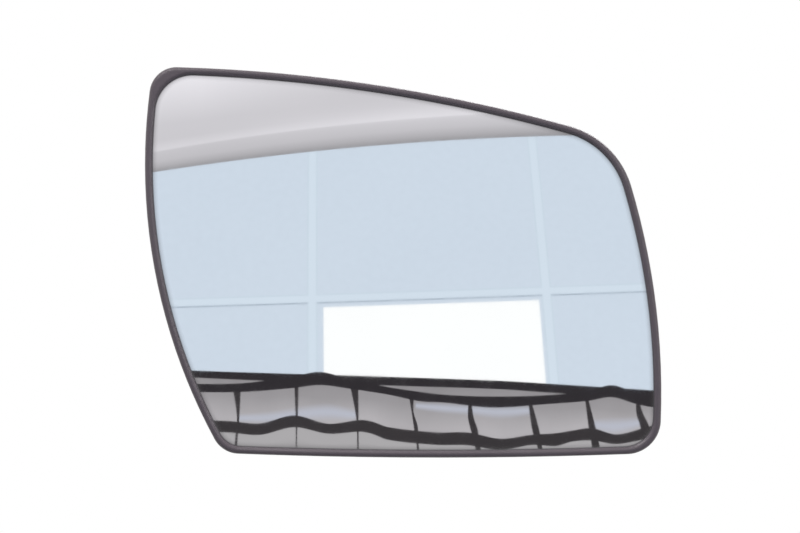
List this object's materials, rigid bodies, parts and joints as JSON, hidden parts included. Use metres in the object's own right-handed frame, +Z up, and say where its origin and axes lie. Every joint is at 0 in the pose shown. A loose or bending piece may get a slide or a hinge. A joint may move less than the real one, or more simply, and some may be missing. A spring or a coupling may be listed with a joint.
{
  "type": "car door mirror glass",
  "caption": "Convex door mirror glass for a car's right-hand side: an asymmetric mirror in a slim dark moulded rim, with a snap-hook actuator socket and heater terminals behind.",
  "frame": {"origin": "centre of the actuator socket's mouth on the back, in the plane of the face that the actuator seats against", "axes": "+Z up as it stands on the door, the mirror faces -Y, +Y points out of the socket to the rear, +X points outboard"},
  "size_m": [0.1978, 0.0201, 0.1495],
  "materials": {
    "mirror": "polished, neutral silver",
    "moulded_plastic": "satin, dark warm grey",
    "heater_film": "satin film on adhesive",
    "terminal_brass": "stamped strip",
    "eyelet_brass": "clinched"
  },
  "bodies": {
    "root": {"mirror_glass": "mirror", "backing_plate": "moulded_plastic", "heater_pad": "heater_film", "terminal_upper": "terminal_brass", "terminal_lower": "terminal_brass", "terminal_eyelets": "eyelet_brass"}
  },
  "joints": []
}
